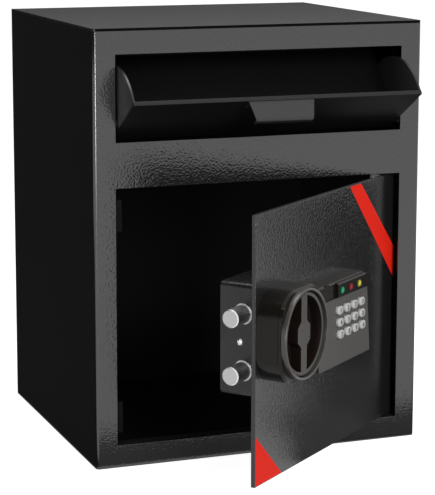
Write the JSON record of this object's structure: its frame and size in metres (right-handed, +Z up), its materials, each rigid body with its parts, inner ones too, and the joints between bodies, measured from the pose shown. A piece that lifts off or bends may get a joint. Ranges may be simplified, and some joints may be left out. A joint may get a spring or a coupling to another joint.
{
  "type": "deposit safe",
  "caption": "Upright steel deposit safe with a tip-out hopper over a hinged door that carries two locking bolts, a round knob and a keypad lock.",
  "frame": {"origin": "centre of the footprint, on the face the safe stands on", "axes": "-Y out of the front face, +Z up, +X towards the door's hinge side"},
  "size_m": [0.4, 0.5773, 0.5],
  "materials": {
    "body_coat": "hammered powder coat, semi-matt",
    "door_coat": "hammered powder coat, semi-matt",
    "inner_coat": "powder coat, matt",
    "plated_steel": "zinc plated",
    "bright_chrome": "polished with brushed ends",
    "lock_plastic": "fine grain",
    "key_caps": "metallised",
    "stop_rubber": "matt",
    "dark_window": "clear dark",
    "lens_green": "clear tinted",
    "lens_red": "clear tinted",
    "lens_yellow": "clear tinted",
    "lock_brass": "turned",
    "black_plastic": "moulded",
    "board": "solder mask"
  },
  "bodies": {
    "cabinet": {"cabinet_wrap": "body_coat", "roof_panel": "body_coat", "floor_panel": "body_coat", "back_panel": "body_coat", "strike_jamb": "body_coat", "door_sill": "body_coat", "door_lintel": "body_coat", "hinge_plate_upper": "body_coat", "hinge_plate_lower": "body_coat", "hopper_brackets": "plated_steel", "chute_floor": "inner_coat", "anti_fishing_teeth": "plated_steel", "hopper_baffle": "inner_coat", "stop_bumpers": "stop_rubber"},
    "hopper": {"hopper_panel": "door_coat", "hopper_side_left": "door_coat", "hopper_side_right": "door_coat", "hopper_tray": "door_coat", "hopper_handle": "door_coat", "handle_rivets": "plated_steel", "hopper_pivot_pins": "plated_steel"},
    "door": {"door_leaf": "door_coat", "hinge_block_upper": "door_coat", "hinge_block_lower": "door_coat", "hinge_pins": "bright_chrome", "bolt_box": "door_coat", "bolt_guide": "plated_steel", "lock_screws": "bright_chrome", "battery_box": "black_plastic", "battery_cover": "black_plastic", "blocking_motor": "plated_steel", "lock_housing": "lock_plastic", "knob_collar": "lock_plastic", "keypad_plate": "lock_plastic", "status_window": "dark_window", "led_green": "lens_green", "led_red": "lens_red", "led_yellow": "lens_yellow", "key_cylinder": "lock_brass", "circuit_board": "board", "spindle_bush": "lock_brass"},
    "knob": {"knob": "lock_plastic", "cam_spindle": "plated_steel"},
    "bolt_work": {"bolt_upper": "bright_chrome", "bolt_lower": "bright_chrome", "bolt_carriage": "plated_steel"},
    "blocking_pin": {"blocking_pin": "bright_chrome"},
    "override_flap": {"override_flap": "lock_plastic"},
    "key_1": {"key_1": "key_caps"},
    "key_2": {"key_2": "key_caps"},
    "key_3": {"key_3": "key_caps"},
    "key_4": {"key_4": "key_caps"},
    "key_5": {"key_5": "key_caps"},
    "key_6": {"key_6": "key_caps"},
    "key_7": {"key_7": "key_caps"},
    "key_8": {"key_8": "key_caps"},
    "key_9": {"key_9": "key_caps"},
    "key_0": {"key_0": "key_caps"},
    "key_clear": {"key_clear": "key_caps"},
    "key_enter": {"key_enter": "key_caps"}
  },
  "joints": [
    {"name": "hopper_hinge", "type": "hinge", "parent": "cabinet", "child": "hopper", "pos_m": [0, -0.1625, 0.394], "axis": [1, 0, 0], "range_deg": [-60, 0]},
    {"name": "door_hinge", "type": "hinge", "parent": "cabinet", "child": "door", "pos_m": [0.1505, -0.157, 0.17], "axis": [0, 0, 1], "range_deg": [-39.5, 60.5]},
    {"name": "knob_turn", "type": "hinge", "parent": "door", "child": "knob", "pos_m": [-0.04832, -0.34422, 0.188], "axis": [0.6361, -0.7716, 0], "range_deg": [0, 90]},
    {"name": "bolt_throw", "type": "slide", "parent": "door", "child": "bolt_work", "axis": [-0.7716, -0.6361, 0], "range_m": [0, 0.016]},
    {"name": "block_pin_drop", "type": "slide", "parent": "door", "child": "blocking_pin", "axis": [0, 0, -1], "range_m": [0, 0.005]},
    {"name": "flap_hinge", "type": "hinge", "parent": "door", "child": "override_flap", "pos_m": [0.02087, -0.31181, 0.2078], "axis": [0.7716, 0.6361, 0], "range_deg": [0, 90]},
    {"name": "key_1_press", "type": "slide", "parent": "door", "child": "key_1", "axis": [-0.6352, 0.7705, -0.0536], "range_m": [0, 0.0012], "stiffness_N_per_m": 150},
    {"name": "key_2_press", "type": "slide", "parent": "door", "child": "key_2", "axis": [-0.6352, 0.7705, -0.0536], "range_m": [0, 0.0012], "stiffness_N_per_m": 150},
    {"name": "key_3_press", "type": "slide", "parent": "door", "child": "key_3", "axis": [-0.6352, 0.7705, -0.0536], "range_m": [0, 0.0012], "stiffness_N_per_m": 150},
    {"name": "key_4_press", "type": "slide", "parent": "door", "child": "key_4", "axis": [-0.6352, 0.7705, -0.0536], "range_m": [0, 0.0012], "stiffness_N_per_m": 150},
    {"name": "key_5_press", "type": "slide", "parent": "door", "child": "key_5", "axis": [-0.6352, 0.7705, -0.0536], "range_m": [0, 0.0012], "stiffness_N_per_m": 150},
    {"name": "key_6_press", "type": "slide", "parent": "door", "child": "key_6", "axis": [-0.6352, 0.7705, -0.0536], "range_m": [0, 0.0012], "stiffness_N_per_m": 150},
    {"name": "key_7_press", "type": "slide", "parent": "door", "child": "key_7", "axis": [-0.6352, 0.7705, -0.0536], "range_m": [0, 0.0012], "stiffness_N_per_m": 150},
    {"name": "key_8_press", "type": "slide", "parent": "door", "child": "key_8", "axis": [-0.6352, 0.7705, -0.0536], "range_m": [0, 0.0012], "stiffness_N_per_m": 150},
    {"name": "key_9_press", "type": "slide", "parent": "door", "child": "key_9", "axis": [-0.6352, 0.7705, -0.0536], "range_m": [0, 0.0012], "stiffness_N_per_m": 150},
    {"name": "key_0_press", "type": "slide", "parent": "door", "child": "key_0", "axis": [-0.6352, 0.7705, -0.0536], "range_m": [0, 0.0012], "stiffness_N_per_m": 150},
    {"name": "key_clear_press", "type": "slide", "parent": "door", "child": "key_clear", "axis": [-0.6352, 0.7705, -0.0536], "range_m": [0, 0.0012], "stiffness_N_per_m": 150},
    {"name": "key_enter_press", "type": "slide", "parent": "door", "child": "key_enter", "axis": [-0.6352, 0.7705, -0.0536], "range_m": [0, 0.0012], "stiffness_N_per_m": 150}
  ],
  "couplings": [
    {"joint": "bolt_throw", "follows": "knob_turn", "m_per_rad": 0.010186}
  ]
}
